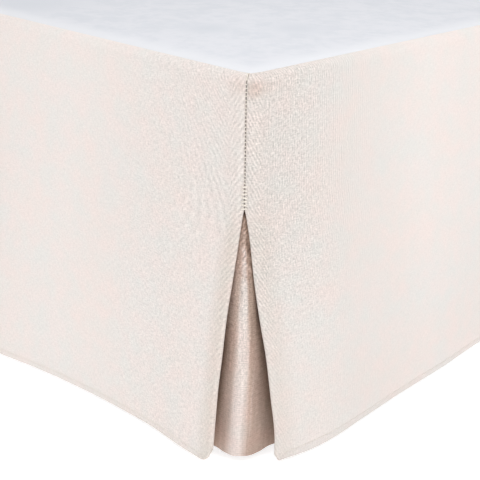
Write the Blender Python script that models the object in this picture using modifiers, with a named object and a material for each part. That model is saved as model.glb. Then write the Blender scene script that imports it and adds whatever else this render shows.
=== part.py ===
"""Tailored three-sided bed skirt on a plain box spring with legs.

The foot of the bed faces -Y, the open head end faces +Y, and the floor is z = 0.
The origin is under the middle of the whole outline, leaning foot drop and all.
Every cloth piece is an open sheet through the middle of the cloth, given its
thickness by Solidify. A drop hangs from the decking's edge seam, runs along its
side of the bed, folds back at a foot corner and ends behind itself. An underlay
wraps each foot corner behind the two folds, which closes the inverted pleat.
"""
import math

import bmesh
import bpy
from mathutils import Vector

# bed and skirt, in metres
BED_WIDTH = 0.991
BED_LENGTH = 1.905
DROP = 0.381
HEM_ABOVE_FLOOR = 0.008
TOP = HEM_ABOVE_FLOOR + DROP

# cloth
CLOTH = 0.0012
LAYER_STEP = 0.0017          # middle of one layer to the middle of the next
PIECE_GAP = 0.0003
EDGE_ROLL = 0.008            # radius of the cloth over the bed's top edge
CORNER_RADIUS = 0.016        # of the skirt in plan, at a foot corner
ROLL_DEPTH = EDGE_ROLL + CLOTH / 2

# inverted pleat
SEAM_CLOSED = 0.122          # sewn shut this far below the top edge
RETURN_END = 0.110           # where the turned-back cloth ends, from the corner
FADE_LENGTH = 0.090          # how far a fold bends its drop along the bed
SEAM_GAP = PIECE_GAP / 2     # each fold's distance to the seam's plane

# One row a level of the foot corner: below the top edge, then where the foot
# drop's fold and the side drop's fold lie (along the drop from the corner, and
# out from plumb), how far each turns round the corner, the radius of the fold,
# the gap at the end of the turned-back cloth, and the underlay's two sides and
# the radius that joins them.
LEVEL_COLUMNS = (
    "depth", "foot_along", "foot_out", "foot_turn",
    "side_along", "side_out", "side_turn",
    "fold_radius", "return_gap", "under_foot", "under_side", "under_radius",
)
CORNER_LEVELS = (
    (0.000, 0.0078, -0.0023, 31.0, 0.0023, -0.0078, 59.0, 0.00085, 0.0017, -0.0034, -0.0034, 0.0126),
    (0.122, 0.0078, -0.0023, 31.0, 0.0023, -0.0078, 59.0, 0.00085, 0.0017, -0.0034, -0.0034, 0.0126),
    (0.150, 0.0118, -0.0008, 22.0, 0.0063, -0.0057, 50.0, 0.0011, 0.0022, -0.0034, -0.0037, 0.0180),
    (0.190, 0.0157, 0.0039, 16.0, 0.0099, -0.0017, 38.0, 0.0014, 0.0032, -0.0030, -0.0040, 0.0165),
    (0.230, 0.0193, 0.0086, 11.0, 0.0140, 0.0031, 30.0, 0.0017, 0.0045, -0.0026, -0.0042, 0.0155),
    (0.270, 0.0209, 0.0130, 9.0, 0.0192, 0.0080, 25.0, 0.0020, 0.0060, -0.0018, -0.0044, 0.0160),
    (0.310, 0.0225, 0.0175, 7.0, 0.0230, 0.0118, 20.0, 0.0022, 0.0075, -0.0010, -0.0045, 0.0165),
    (0.381, 0.0226, 0.0248, 4.0, 0.0269, 0.0193, 14.0, 0.0025, 0.0100, 0.0002, -0.0048, 0.0180),
)
HEM_ROUNDING = {"foot": (0.0095, 0.0110), "side": (0.0060, 0.0080)}    # along, up
RETURN_SHORTER = 0.003       # the turned-back hem hangs this much higher
UNDERLAY_SHORTER = (0.0013, 0.0030)     # at its middle, and how much more beside it
UNDERLAY_RISE_OVER = 0.035

# How far each hem swings out from plumb: (along the drop, out) rows.
HEM_SWING = {
    "foot": (
        (0.000, 0.026), (0.060, 0.025), (0.120, 0.021), (0.180, 0.023),
        (0.240, 0.028), (0.300, 0.036), (0.360, 0.047), (0.440, 0.054),
        (0.520, 0.052), (0.620, 0.043), (0.720, 0.033), (0.820, 0.026),
        (0.920, 0.024), (0.991, 0.026),
    ),
    "side_right": (
        (0.000, 0.020), (0.070, 0.029), (0.140, 0.026), (0.220, 0.021),
        (0.300, 0.018), (0.380, 0.012), (0.480, 0.009), (0.620, 0.013),
        (0.800, 0.021), (0.980, 0.023), (1.180, 0.017), (1.380, 0.012),
        (1.600, 0.018), (1.800, 0.022), (1.905, 0.021),
    ),
    "side_left": (
        (0.000, 0.020), (0.070, 0.027), (0.160, 0.024), (0.280, 0.018),
        (0.420, 0.014), (0.580, 0.019), (0.760, 0.025), (0.960, 0.020),
        (1.160, 0.013), (1.380, 0.014), (1.600, 0.022), (1.800, 0.020),
        (1.905, 0.018),
    ),
}
SWING_POWER = 1.15           # the lean grows a little towards the hem

# plumb lines of the foot drop and of the open head end, along Y
FOOT_REACH = max(out for _, out in HEM_SWING["foot"])
FOOT_Y = (FOOT_REACH - BED_LENGTH) / 2
HEAD_Y = FOOT_Y + BED_LENGTH

# mesh: places of the columns and rows
ROLL_ANGLES = (90.0, 67.5, 45.0, 22.5)
ROW_DEPTHS = (ROLL_DEPTH, 0.045, 0.085, SEAM_CLOSED, 0.150, 0.190, 0.230, 0.280, 0.330, DROP)
HEM_RISE_FROM = ROW_DEPTHS[-2]
TURN_STEPS = {"foot": (1.0, 0.5), "side": (1.0, 0.66, 0.33)}
NEAR_COLUMNS = {
    "foot": (0.029, 0.035, 0.055, 0.080, RETURN_END),
    "side": (0.036, 0.052, 0.080, RETURN_END),
}
FOOT_COLUMNS = (0.150, 0.200, 0.260, 0.330, 0.410)
SIDE_COLUMNS = (
    0.150, 0.200, 0.260, 0.330, 0.410, 0.500, 0.600, 0.720, 0.850, 1.000,
    1.150, 1.300, 1.450, 1.600, 1.750,
)
FOLD_ANGLES = (45.0, 90.0, 135.0)
UNDERLAY_FROM = 0.033        # the underlay's first column past its corner's arc
UNDERLAY_ARC_STEPS = 4

# box spring and legs
BASE_INSET = 0.010           # its sides, inside the skirt's plumb line
BASE_HEIGHT = 0.203
BASE_TOP = TOP - CLOTH - PIECE_GAP
BASE_CORNER = 0.035
BASE_EDGE = 0.015
LEG_INSET = 0.110
LEG_TOP_RADIUS = 0.030
LEG_FOOT_RADIUS = 0.022
LEG_BEVEL = 0.003
LEG_SIDES = 24

COLORS = {
    "skirt": ((0.87, 0.80, 0.74, 1.0), 0.9),
    "decking": ((0.78, 0.82, 0.87, 1.0), 0.85),
    "box_spring": ((0.80, 0.79, 0.76, 1.0), 0.9),
    "leg": ((0.05, 0.04, 0.035, 1.0), 0.5),
}


def smoothstep(value):
    value = min(max(value, 0.0), 1.0)
    return value * value * (3.0 - 2.0 * value)


def through_rows(rows, place):
    """A smooth curve through (place, value) rows, level with no overshoot."""
    last = len(rows) - 1
    index = max(i for i in range(last) if i == 0 or rows[i][0] <= place)
    slopes = []
    for i in (index, index + 1):
        before, after = rows[max(i - 1, 0)], rows[min(i + 1, last)]
        slopes.append((after[1] - before[1]) / (after[0] - before[0]))
    (start, first), (end, second) = rows[index], rows[index + 1]
    span = end - start
    t = min(max((place - start) / span, 0.0), 1.0)
    return (
        first * (1 + 2 * t) * (1 - t) ** 2
        + slopes[0] * span * t * (1 - t) ** 2
        + second * t * t * (3 - 2 * t)
        - slopes[1] * span * t * t * (1 - t)
    )


def corner_level(depth):
    """The corner table's row at a depth, as a dictionary."""
    depths = [row[0] for row in CORNER_LEVELS]
    index = max(i for i in range(len(depths) - 1) if depths[i] <= max(depth, 0.0))
    upper, lower = CORNER_LEVELS[index], CORNER_LEVELS[index + 1]
    t = min(max((depth - depths[index]) / (depths[index + 1] - depths[index]), 0.0), 1.0)
    return {name: a + (b - a) * t for name, a, b in zip(LEVEL_COLUMNS, upper, lower)}


def make_material(name):
    color, roughness = COLORS[name]
    material = bpy.data.materials.new(name)
    material.use_nodes = True
    shader = material.node_tree.nodes["Principled BSDF"]
    shader.inputs["Base Color"].default_value = color
    shader.inputs["Roughness"].default_value = roughness
    shader.inputs["Metallic"].default_value = 0.0
    return material


def add_object(name, mesh, material, collection):
    obj = bpy.data.objects.new(name, mesh)
    mesh.materials.append(material)
    collection.objects.link(obj)
    return obj


class Drop:
    """One drop seen from one foot corner: its run, its corner and its hem."""

    def __init__(self, run, side, swing, from_far_end=False):
        self.run = run                       # "foot" or "side"
        self.side = side                     # +1 right, -1 left
        self.swing = HEM_SWING[swing]
        self.from_far_end = from_far_end     # rows are measured from the other corner

    def world(self, along, out, height):
        """Along the drop from the corner and out from plumb, to the bed's frame."""
        if self.run == "foot":
            x, y = BED_WIDTH / 2 - along, FOOT_Y - out
        else:
            x, y = BED_WIDTH / 2 + out, FOOT_Y + along
        return Vector((self.side * x, y, height))

    def far_out(self, along, depth):
        """How far the hanging cloth leans out, away from its fold."""
        place = BED_WIDTH - along if self.from_far_end else along
        lean = max(depth - ROLL_DEPTH, 0.0) / (DROP - ROLL_DEPTH)
        return through_rows(self.swing, place) * lean ** SWING_POWER

    def bend(self, depth):
        """The fold at a depth: end of the face, its turn, and the arc's centre."""
        level = corner_level(depth)
        turn = math.radians(level[self.run + "_turn"])
        towards = Vector((-math.cos(turn), -math.sin(turn)))
        inward = Vector((math.sin(turn), -math.cos(turn)))
        radius = level["fold_radius"]
        tip = Vector((level[self.run + "_along"], level[self.run + "_out"]))
        face_end = tip - towards * (SEAM_GAP + CLOTH / 2 + radius)
        centre = face_end + inward * CORNER_RADIUS
        return {
            "turn": turn, "towards": towards, "inward": inward, "radius": radius,
            "end": face_end, "centre": centre, "gap": level["return_gap"],
        }

    def face(self, column, depth, bend):
        """Plan place and inward direction of a face column.

        A column is ("turn", share of the turn) or ("along", distance)."""
        kind, value = column
        if kind == "turn":
            angle = bend["turn"] * value
            inward = Vector((math.sin(angle), -math.cos(angle)))
            return bend["centre"] - inward * CORNER_RADIUS, inward
        start = bend["centre"] + Vector((0.0, CORNER_RADIUS))
        along = start.x + max(value - start.x, 0.0)
        pull = start.y - self.far_out(start.x, depth)
        fade = 1.0 - smoothstep((along - start.x) / FADE_LENGTH)
        return Vector((along, self.far_out(along, depth) + pull * fade)), Vector((0.0, -1.0))

    def folded_gap(self, place, bend):
        """Distance from the face to the turned-back cloth behind it."""
        reach = smoothstep((place.x - bend["end"].x) / (RETURN_END - bend["end"].x))
        near = 2 * bend["radius"]
        return near + (bend["gap"] - near) * reach

    def column_place(self, part, column, depth):
        """Plan place on the face, inward direction, and depth of the layer."""
        bend = self.bend(depth)
        if part == "fold":
            angle = math.radians(column[1])
            place = bend["end"] + bend["towards"] * bend["radius"] * math.sin(angle)
            return place, bend["inward"], bend["radius"] * (1.0 - math.cos(angle))
        place, inward = self.face(column, depth, bend)
        layer = self.folded_gap(place, bend) if part == "return" else 0.0
        return place, inward, layer

    def hem_rise(self, part, column, depth):
        """How much shorter a column is, so that the fold's lower corner is round."""
        reach_along, reach_up = HEM_ROUNDING[self.run]
        bend = self.bend(depth)
        if part == "fold":
            angle = column[1]
            behind = angle / 180.0
            from_tip = bend["radius"] * max(0.7 - math.sin(math.radians(angle)), 0.0)
        else:
            behind = 1.0 if part == "return" else 0.0
            place, _ = self.face(column, depth, bend)
            from_tip = 0.7 * bend["radius"] + (place - bend["end"]).length
        short = 1.0 - min(from_tip / reach_along, 1.0)
        return reach_up * (1.0 - math.sqrt(1.0 - short ** 2)) + RETURN_SHORTER * behind


def roll_over_edge(place, inward, layer, angle):
    """A layer's plan place and height where it rolls over the bed's top edge."""
    radius = EDGE_ROLL - layer
    shift = layer + radius * (1.0 - math.cos(angle))
    return place + inward * shift, TOP - ROLL_DEPTH + radius * math.sin(angle)


def hang_column(world, place_at, rise):
    """One column of a sheet, from the decking's seam down to its hem."""
    points = []
    for degrees in ROLL_ANGLES:
        place, inward, layer = place_at(0.0)
        plan, height = roll_over_edge(place, inward, layer, math.radians(degrees))
        points.append(world(plan.x, plan.y, height))
    for row_depth in ROW_DEPTHS:
        lower_share = (row_depth - HEM_RISE_FROM) / (DROP - HEM_RISE_FROM)
        depth = row_depth - rise * max(lower_share, 0.0)
        place, inward, layer = place_at(depth)
        plan = place + inward * layer
        points.append(world(plan.x, plan.y, TOP - depth))
    return points


def drop_columns(run, far_columns):
    """Columns of a drop from the end of its turned-back cloth along its face."""
    turned = [("turn", share) for share in TURN_STEPS[run]]
    near = turned + [("along", place) for place in NEAR_COLUMNS[run]]
    columns = [("return", column) for column in reversed(near)]
    columns += [("fold", ("angle", angle)) for angle in reversed(FOLD_ANGLES)]
    columns += [("face", column) for column in near]
    columns += [("face", ("along", place)) for place in far_columns]
    return columns


def drop_points(drop, columns):
    points = []
    for part, column in columns:
        rise = drop.hem_rise(part, column, DROP)

        def place_at(depth, part=part, column=column):
            return drop.column_place(part, column, depth)

        points.append(hang_column(drop.world, place_at, rise))
    return points


def sheet_from_columns(name, columns, material, collection):
    """A grid laid through the columns' points and given the cloth's thickness."""
    across, down = len(columns) - 1, len(columns[0]) - 1
    bm = bmesh.new()
    bmesh.ops.create_grid(bm, x_segments=across, y_segments=down, size=0.5)
    for vert in bm.verts:
        column = round((vert.co.x + 0.5) * across)
        row = round((0.5 - vert.co.y) * down)
        vert.co = columns[column][row]
    mesh = bpy.data.meshes.new(name)
    bm.to_mesh(mesh)
    bm.free()
    mesh.shade_smooth()
    obj = add_object(name, mesh, material, collection)
    solidify = obj.modifiers.new("cloth", "SOLIDIFY")
    solidify.thickness = CLOTH
    solidify.offset = 0.0
    solidify.use_even_offset = True
    return obj


def make_foot_drop(material, collection):
    right = Drop("foot", 1, "foot")
    left = Drop("foot", -1, "foot", from_far_end=True)
    columns = drop_columns("foot", FOOT_COLUMNS)
    middle = drop_points(right, [("face", ("along", BED_WIDTH / 2))])
    points = drop_points(left, columns) + middle + drop_points(right, columns)[::-1]
    return sheet_from_columns("foot_drop", points, material, collection)


def make_side_drop(hand, side, material, collection):
    drop = Drop("side", side, "side_" + hand)
    points = drop_points(drop, drop_columns("side", SIDE_COLUMNS + (BED_LENGTH,)))
    return sheet_from_columns("side_drop_" + hand, points, material, collection)


def underlay_run(drop, along, depth):
    """Out from plumb of an underlay beside its corner, behind the turned-back cloth."""
    level = corner_level(depth)
    near = level["under_" + drop.run]
    bend = drop.bend(depth)
    face, _ = drop.face(("along", along), depth, bend)
    behind = face.y - drop.folded_gap(face, bend) - LAYER_STEP
    reach = smoothstep((along - CORNER_RADIUS) / (RETURN_END - CORNER_RADIUS))
    return near + (behind - near) * reach


def underlay_column(side, swings, column, depth):
    """Plan place of an underlay column, in the foot drop's own frame."""
    level = corner_level(depth)
    radius = level["under_radius"]
    centre = Vector((radius - level["under_side"], level["under_foot"] - radius))
    layer = 2 * LAYER_STEP
    kind, value = column
    if kind == "arc":
        inward = Vector((math.sin(value), -math.cos(value)))
        return centre - inward * (radius + layer), inward, layer
    if kind == "foot":
        out = underlay_run(Drop("foot", side, swings[0], side < 0), value, depth)
        return Vector((value, out + layer)), Vector((0.0, -1.0)), layer
    out = underlay_run(Drop("side", side, swings[1]), value, depth)
    return Vector((-out - layer, -value)), Vector((1.0, 0.0)), layer


def underlay_rise(column):
    """How much shorter an underlay column is: its hem is lowest at the corner."""
    kind, value = column
    if kind == "arc":
        value = CORNER_RADIUS * abs(math.pi / 4 - value)
    least, more = UNDERLAY_SHORTER
    return least + more * smoothstep(value / UNDERLAY_RISE_OVER)


def make_underlay(hand, side, material, collection):
    swings = ("foot", "side_" + hand)
    places = {
        run: [place for place in NEAR_COLUMNS[run] if place > UNDERLAY_FROM]
        for run in NEAR_COLUMNS
    }
    columns = [("foot", place) for place in reversed(places["foot"])]
    quarter = math.pi / 2
    for step in range(UNDERLAY_ARC_STEPS + 1):
        columns.append(("arc", quarter * step / UNDERLAY_ARC_STEPS))
    columns += [("side", place) for place in places["side"]]
    world = Drop("foot", side, "foot").world
    points = []
    for column in columns:

        def place_at(depth, column=column):
            return underlay_column(side, swings, column, depth)

        points.append(hang_column(world, place_at, underlay_rise(column)))
    return sheet_from_columns("pleat_underlay_" + hand, points, material, collection)


def make_decking(material, collection):
    """The flat platform inside the seam, with its two foot corners rounded."""
    inset = EDGE_ROLL + PIECE_GAP
    half = BED_WIDTH / 2 - inset
    foot = FOOT_Y + inset
    radius = CORNER_RADIUS - inset
    steps = 6
    outline = []
    for side, start in ((-1, math.pi), (1, 1.5 * math.pi)):
        for step in range(steps + 1):
            angle = start + math.pi / 2 * step / steps
            x = side * (half - radius) + radius * math.cos(angle)
            outline.append((x, foot + radius + radius * math.sin(angle)))
    outline += [(half, HEAD_Y), (-half, HEAD_Y)]
    bm = bmesh.new()
    bm.faces.new([bm.verts.new((x, y, TOP)) for x, y in outline])
    mesh = bpy.data.meshes.new("decking")
    bm.to_mesh(mesh)
    bm.free()
    obj = add_object("decking", mesh, material, collection)
    solidify = obj.modifiers.new("cloth", "SOLIDIFY")
    solidify.thickness = CLOTH
    solidify.offset = -1.0
    return obj


def make_box_spring(material, collection):
    width = BED_WIDTH - 2 * BASE_INSET
    length = BED_LENGTH - BASE_INSET
    bm = bmesh.new()
    bmesh.ops.create_cube(bm, size=1.0)
    bmesh.ops.scale(bm, vec=(width, length, BASE_HEIGHT), verts=bm.verts)
    middle = Vector((0.0, HEAD_Y - length / 2, BASE_TOP - BASE_HEIGHT / 2))
    bmesh.ops.translate(bm, vec=middle, verts=bm.verts)
    upright = [e for e in bm.edges if abs(e.verts[0].co.z - e.verts[1].co.z) > 0.1]
    bmesh.ops.bevel(
        bm, geom=upright, offset=BASE_CORNER, affect="EDGES", segments=5, profile=0.5)
    rims = [e for e in bm.edges if abs(e.calc_face_angle() - math.pi / 2) < 0.01]
    bmesh.ops.bevel(
        bm, geom=rims, offset=BASE_EDGE, affect="EDGES", segments=4, profile=0.5)
    mesh = bpy.data.meshes.new("box_spring")
    bm.to_mesh(mesh)
    bm.free()
    return add_object("box_spring", mesh, material, collection)


def make_leg(name, x, y, material, collection):
    height = BASE_TOP - BASE_HEIGHT - PIECE_GAP
    bm = bmesh.new()
    bmesh.ops.create_cone(
        bm, cap_ends=True, segments=LEG_SIDES, radius1=LEG_FOOT_RADIUS,
        radius2=LEG_TOP_RADIUS, depth=height)
    lower = [e for e in bm.edges if all(v.co.z < 0 for v in e.verts)]
    bmesh.ops.bevel(bm, geom=lower, offset=LEG_BEVEL, affect="EDGES", segments=2, profile=0.5)
    mesh = bpy.data.meshes.new(name)
    bm.to_mesh(mesh)
    bm.free()
    mesh.shade_smooth()
    mesh.set_sharp_from_angle(angle=math.radians(40))
    obj = add_object(name, mesh, material, collection)
    obj.location = (x, y, height / 2)
    return obj


def main():
    for obj in list(bpy.data.objects):
        bpy.data.objects.remove(obj, do_unlink=True)
    collection = bpy.data.collections.new("bed_skirt")
    bpy.context.scene.collection.children.link(collection)

    skirt = make_material("skirt")
    make_foot_drop(skirt, collection)
    for hand, side in (("right", 1), ("left", -1)):
        make_side_drop(hand, side, skirt, collection)
        make_underlay(hand, side, skirt, collection)
    make_decking(make_material("decking"), collection)
    make_box_spring(make_material("box_spring"), collection)

    leg_material = make_material("leg")
    for end, y in (("foot", FOOT_Y + LEG_INSET), ("head", HEAD_Y - LEG_INSET)):
        for hand, side in (("right", 1), ("left", -1)):
            x = side * (BED_WIDTH / 2 - LEG_INSET)
            make_leg("leg_" + end + "_" + hand, x, y, leg_material, collection)


main()
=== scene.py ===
import bmesh
import bpy
from collections import namedtuple
from functools import partial
from math import radians, sin, cos, pi, sqrt, exp
from mathutils import Vector, Matrix, noise


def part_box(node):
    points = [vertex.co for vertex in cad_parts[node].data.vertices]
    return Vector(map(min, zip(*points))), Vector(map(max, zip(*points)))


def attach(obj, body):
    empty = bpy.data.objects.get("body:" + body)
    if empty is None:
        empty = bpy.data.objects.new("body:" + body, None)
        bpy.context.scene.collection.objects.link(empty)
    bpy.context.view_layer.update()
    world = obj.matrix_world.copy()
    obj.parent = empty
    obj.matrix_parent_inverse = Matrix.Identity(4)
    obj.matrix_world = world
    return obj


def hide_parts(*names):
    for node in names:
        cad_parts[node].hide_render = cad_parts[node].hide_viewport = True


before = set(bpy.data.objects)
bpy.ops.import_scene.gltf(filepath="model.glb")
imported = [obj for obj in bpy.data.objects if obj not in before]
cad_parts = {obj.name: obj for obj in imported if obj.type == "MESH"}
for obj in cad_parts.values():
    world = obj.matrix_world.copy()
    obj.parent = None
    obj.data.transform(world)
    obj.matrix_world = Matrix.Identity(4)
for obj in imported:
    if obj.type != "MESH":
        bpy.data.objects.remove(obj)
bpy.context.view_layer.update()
print("frame loaded:", len(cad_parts), "nodes")

# the bed's plumb lines, worked out from the decking, which stops inside the rolled edge
bed = {"edgeRoll": 0.008, "deckingGap": 0.0003, "drop": 0.381, "cloth": 0.0012, "cornerRadius": 0.016}
deckLow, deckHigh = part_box("decking")
bed["plumbX"] = deckHigh.x + bed["edgeRoll"] + bed["deckingGap"]
bed["footY"] = deckLow.y - bed["edgeRoll"] - bed["deckingGap"]
bed["headY"] = deckHigh.y
bed["top"] = deckHigh.z
bed["width"] = 2 * bed["plumbX"]
bed["length"] = bed["headY"] - bed["footY"]
bed["rollDepth"] = bed["edgeRoll"] + bed["cloth"] / 2


# camera: looks down on the right foot corner, half way between the two drops
view = {
    "lens": 80, "sensor": 36, "pitch": 21.893, "roll": 0.83,
    "back": 0.88013, "left": 0.00735, "above": 0.20665,  # metres from the corner's top
}


def placeCamera():
    corner = Vector((bed["plumbX"], bed["footY"], bed["top"]))
    level = Vector((-1, 1, 0)).normalized()
    right = Vector((1, 1, 0)).normalized()
    eye = corner - level * view["back"] - right * view["left"] + Vector((0, 0, view["above"]))
    pitch, roll = radians(view["pitch"]), radians(view["roll"])
    ahead = level * cos(pitch) - Vector((0, 0, sin(pitch)))
    up = right.cross(ahead)
    axisX = right * cos(roll) + up * sin(roll)
    axisY = up * cos(roll) - right * sin(roll)
    camera = bpy.data.cameras.new("camera")
    camera.lens, camera.sensor_width = view["lens"], view["sensor"]
    obj = bpy.data.objects.new("camera", camera)
    bpy.context.scene.collection.objects.link(obj)
    turned = Matrix((axisX, axisY, -ahead)).transposed().to_4x4()
    obj.matrix_world = Matrix.Translation(eye) @ turned
    bpy.context.scene.camera = obj


placeCamera()
print("camera placed")


# small tools
creaseEnds = (0.6, 0.2)  # a crease fades out between these shares of its length, out from its middle


def smooth(value):
    value = min(max(value, 0.0), 1.0)
    return value * value * (3 - 2 * value)


def ramp(value, none, full):  # eases from 0 at none to 1 at full, which may come before none
    return smooth((value - none) / (full - none))


def hexToLinear(code):
    parts = [int(code[i:i + 2], 16) / 255 for i in (0, 2, 4)]
    return tuple(p / 12.92 if p <= 0.04045 else ((p + 0.055) / 1.055) ** 2.4 for p in parts) + (1.0,)


def curveThrough(rows, place):  # cubic through (place, value) rows, level where the rows turn back
    last = len(rows) - 1
    i = max(k for k in range(last) if k == 0 or rows[k][0] <= place)
    slopes = []
    for k in (i, i + 1):
        if 0 < k < last:
            before = (rows[k][1] - rows[k - 1][1]) / (rows[k][0] - rows[k - 1][0])
            after = (rows[k + 1][1] - rows[k][1]) / (rows[k + 1][0] - rows[k][0])
            slopes.append(2 * before * after / (before + after) if before * after > 0 else 0.0)
        else:
            a, b = (0, 1) if k == 0 else (last - 1, last)
            slopes.append((rows[b][1] - rows[a][1]) / (rows[b][0] - rows[a][0]))
    (x0, y0), (x1, y1) = rows[i], rows[i + 1]
    span = x1 - x0
    t = min(max((place - x0) / span, 0.0), 1.0)
    return (y0 * (1 + 2 * t) * (1 - t) ** 2 + slopes[0] * span * t * (1 - t) ** 2
            + y1 * t * t * (3 - 2 * t) - slopes[1] * span * t * t * (1 - t))


def gradedPlaces(start, stops):  # stops are (until, step): places get further apart from the corner
    places, place = [], start
    for until, step in stops:
        count = max(1, round((until - place) / step))
        places += [place + (until - place) * (n + 1) / count for n in range(count)]
        place = until
    return places


def creaseLift(creases, run, across, depth):  # soft ridges and troughs listed for one piece
    lift = 0.0
    for name, middle, middleDepth, slant, length, width, height in creases:
        if name != run or abs(across - middle) > length + 3 * width:
            continue
        dx, dy, turn = across - middle, depth - middleDepth, radians(slant)
        lengthwise, sideways = dx * cos(turn) + dy * sin(turn), dy * cos(turn) - dx * sin(turn)
        ends = ramp(abs(lengthwise), length * creaseEnds[0], length * creaseEnds[1])
        lift += height * exp(-(sideways / width) ** 2) * ends
    return lift


# the foot corner: one row a level, top to hem, and each hem's swing out from plumb
cornerNames = ("footAlong", "footOut", "footTurn", "sideAlong", "sideOut", "sideTurn",
               "foldRadius", "returnGap", "underFoot", "underSide", "underRadius")
cornerLevels = (
    (0.122, 0.0078, -0.0023, 31.0, 0.0023, -0.0078, 59.0, 0.00085, 0.0017, -0.0034, -0.0034, 0.0126),
    (0.150, 0.0118, -0.0008, 22.0, 0.0063, -0.0057, 50.0, 0.0011, 0.0022, -0.0034, -0.0037, 0.0180),
    (0.190, 0.0157, 0.0039, 16.0, 0.0099, -0.0017, 38.0, 0.0014, 0.0032, -0.0030, -0.0040, 0.0165),
    (0.230, 0.0193, 0.0086, 11.0, 0.0140, 0.0031, 30.0, 0.0017, 0.0045, -0.0026, -0.0042, 0.0155),
    (0.270, 0.0209, 0.0130, 9.0, 0.0192, 0.0080, 25.0, 0.0020, 0.0060, -0.0018, -0.0044, 0.0160),
    (0.310, 0.0225, 0.0175, 7.0, 0.0230, 0.0118, 20.0, 0.0022, 0.0075, -0.0010, -0.0045, 0.0165),
    (0.361, 0.0226, 0.0227, 4.8, 0.0258, 0.0172, 15.7, 0.0024, 0.0093, -0.0001, -0.0047, 0.0176),
    (0.381, 0.0226, 0.0248, 4.0, 0.0259, 0.0174, 14.0, 0.0025, 0.0100, 0.0002, -0.0048, 0.0180),
)
hemSwing = {
    "foot": (
        (0.000, 0.026), (0.060, 0.025), (0.120, 0.021), (0.180, 0.023), (0.240, 0.028),
        (0.300, 0.036), (0.360, 0.047), (0.440, 0.054), (0.520, 0.052), (0.620, 0.043),
        (0.720, 0.033), (0.820, 0.026), (0.920, 0.024), (0.991, 0.026)),
    "sideRight": (
        (0.000, 0.020), (0.070, 0.029), (0.140, 0.026), (0.220, 0.021), (0.300, 0.018),
        (0.380, 0.012), (0.480, 0.009), (0.620, 0.013), (0.800, 0.021), (0.980, 0.023),
        (1.180, 0.017), (1.380, 0.012), (1.600, 0.018), (1.800, 0.022), (1.905, 0.021)),
    "sideLeft": (
        (0.000, 0.020), (0.070, 0.027), (0.160, 0.024), (0.280, 0.018), (0.420, 0.014),
        (0.580, 0.019), (0.760, 0.025), (0.960, 0.020), (1.160, 0.013), (1.380, 0.014),
        (1.600, 0.022), (1.800, 0.020), (1.905, 0.018)),
}
drops = {
    "swingPower": 1.15, "fadeLength": 0.090, "returnEnd": 0.110, "returnShorter": 0.003,
    # the seam that closes the pleat's top, and the small notch where the pleat opens: none and full depths
    "seamClosed": 0.122, "seamGap": 0.00015, "layerStep": 0.0017,
    "firstStitch": -0.0024, "lastStitch": 0.1205, "stitchPitch": 0.0034, "notch": 0.0005,
    "notchAbove": (0.120, 0.126), "notchBelow": (0.200, 0.150),
    # round lower corners of the flaps: how far along and up, how sharp, and where on the fold they start
    "hemRounding": {"foot": (0.0160, 0.0138), "side": (0.0045, 0.0034)}, "hemPower": 2.5, "foldShare": 0.7,
    # where the hem hangs lower near the flap's corner: how far from the corner, over what width, how much
    "hemSag": {"foot": (0.008, 0.006, 0.0005), "side": (0.045, 0.045, 0.0026)}, "riseFrom": 0.330,
    "hemTurn": 0.00085, "hemDeep": 0.0085, "hemSteps": 4, "hemShares": (0.35, 0.7, 1.0),
    "seamAllowance": (0.006, 0.003), "nearStart": 0.001, "middleGap": 0.005,
    "nearStops": ((0.045, 0.002), (0.110, 0.005)), "farStops": ((0.300, 0.008), (0.9, 0.013)),
    "rowStops": ((0.030, 0.0025), (0.122, 0.0045), (0.150, 0.004), (0.355, 0.006), (0.378, 0.0035)),
    "rollSteps": 8, "turnSteps": 6, "foldSteps": 8, "lengthDepths": (0.122, 0.190, 0.270, 0.381),
    # soft waves: height, turns along and down, where the noise is read, and their none and full places
    "wave": 0.0012, "waveTurns": (9, 6), "waveSeeds": {"foot": 3.0, "side": 7.0},
    "waveTop": (0.0, 0.060), "waveHem": (0.372, 0.332), "waveNear": (0.030, 0.110),
    "pucker": 0.00025, "puckerReach": 0.003, "puckerDepth": (0.124, 0.112),
    # painted shade, rosy, where the seam's top draws the cloth in: strength, along, width, depth, height,
    # blunt
    "blush": {"foot": (0.28, 0.004, 0.008, 0.010, 0.007, 1.0),
              "side": (0.60, 0.006, 0.010, 0.0125, 0.008, 1.5)},
}
dropCreases = (  # run, along the cloth, depth, slant in degrees, length, width, height
    ("side", 0.011, 0.016, 62.0, 0.022, 0.0045, -0.0009),
    ("side", 0.020, 0.016, 66.0, 0.024, 0.0022, 0.0005),
    ("side", 0.008, 0.0095, 4.0, 0.018, 0.0009, -0.0004),
    ("foot", 0.007, 0.0095, 6.0, 0.014, 0.0009, -0.0004),
    ("foot", 0.006, 0.010, 30.0, 0.014, 0.0025, -0.0003),
    ("foot", 0.330, 0.300, -12.0, 0.120, 0.0060, 0.0008),
    ("foot", 0.330, 0.312, -12.0, 0.120, 0.0050, -0.0007),
)
levelCache = {}


def cornerLevel(depth):
    key = round(max(depth, drops["seamClosed"]), 6)
    if key not in levelCache:
        levelCache[key] = {
            name: curveThrough([(row[0], row[k + 1]) for row in cornerLevels], key)
            for k, name in enumerate(cornerNames)}
    return levelCache[key]


# a drop is (run, side, swing): run "foot" or "side", side +1 right or -1 left, swing a name in hemSwing
def dropPoint(drop, along, out, height):
    run, side, _ = drop
    if run == "foot":
        return Vector((side * (bed["plumbX"] - along), bed["footY"] - out, height))
    return Vector((side * (bed["plumbX"] + out), bed["footY"] + along, height))


def swingOut(drop, along, depth):
    run, side, swing = drop
    place = bed["width"] - along if run == "foot" and side < 0 else along
    lean = max(depth - bed["rollDepth"], 0.0) / (bed["drop"] - bed["rollDepth"])
    return curveThrough(hemSwing[swing], place) * lean ** drops["swingPower"]


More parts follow.
